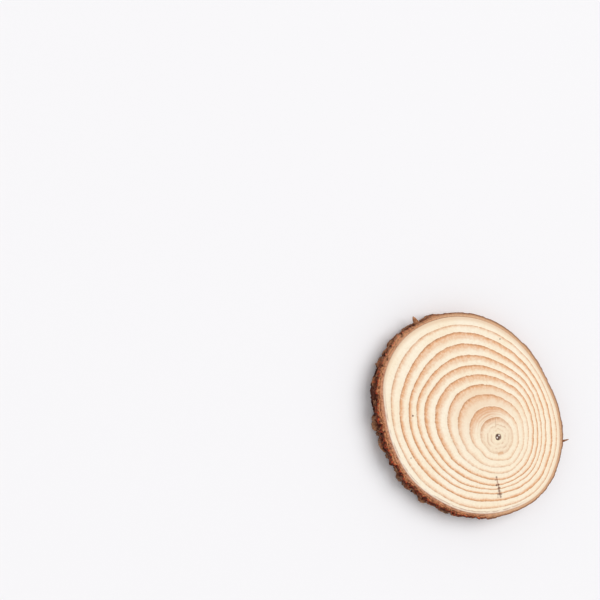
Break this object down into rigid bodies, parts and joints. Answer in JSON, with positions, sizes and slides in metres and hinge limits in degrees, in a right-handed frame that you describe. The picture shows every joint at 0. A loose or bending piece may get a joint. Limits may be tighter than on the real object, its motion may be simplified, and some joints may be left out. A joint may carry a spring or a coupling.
{
  "type": "wood slice",
  "caption": "Flat round slice of a tree branch with growth rings, an off-centre pith and a thin rough ring of bark.",
  "frame": {"origin": "middle of the bounding box, on the flat back face that the slice lies on", "axes": "+Z out of the ringed face, along the trunk's grain; +X towards the side where the pith is nearest the bark, as on the right of the picture; +Y across the face"},
  "size_m": [0.0842, 0.0816, 0.007],
  "materials": {
    "wood": "sawn and sanded, bare, pale cream with orange-tan rings",
    "bark": "rough bark, red-brown where cut, grey-brown on the outer scales"
  },
  "bodies": {
    "root": {"wood": "wood", "bark": "bark"}
  },
  "joints": []
}
